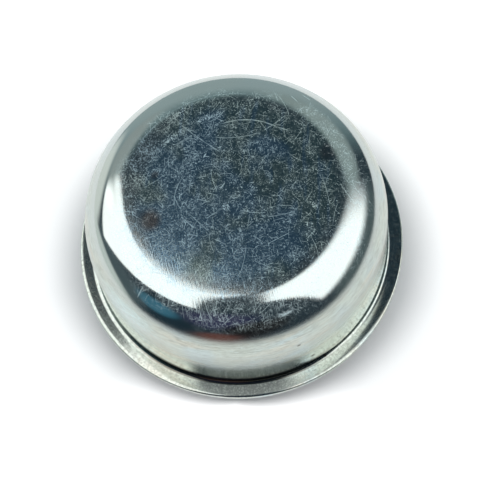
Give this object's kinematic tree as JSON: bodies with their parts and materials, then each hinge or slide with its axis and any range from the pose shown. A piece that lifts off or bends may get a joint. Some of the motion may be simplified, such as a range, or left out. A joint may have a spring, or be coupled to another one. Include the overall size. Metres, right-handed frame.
{
  "type": "dust cap",
  "caption": "Pressed steel dust cap with a flat closed end, a folded collar and a press-in skirt, which seals a wheel hub's bore.",
  "frame": {"origin": "centre of the skirt's open rim, on the cap's axis", "axes": "+Z along the cap's axis, from the open rim towards the closed end; the cap is round, so +X and +Y are any two square directions"},
  "size_m": [0.062, 0.062, 0.0288],
  "materials": {
    "zinc_plate": "bright zinc plate on steel, clear to pale blue passivated, finely scratched on the closed end and shoulder"
  },
  "bodies": {
    "root": {"dust_cap": "zinc_plate"}
  },
  "joints": []
}
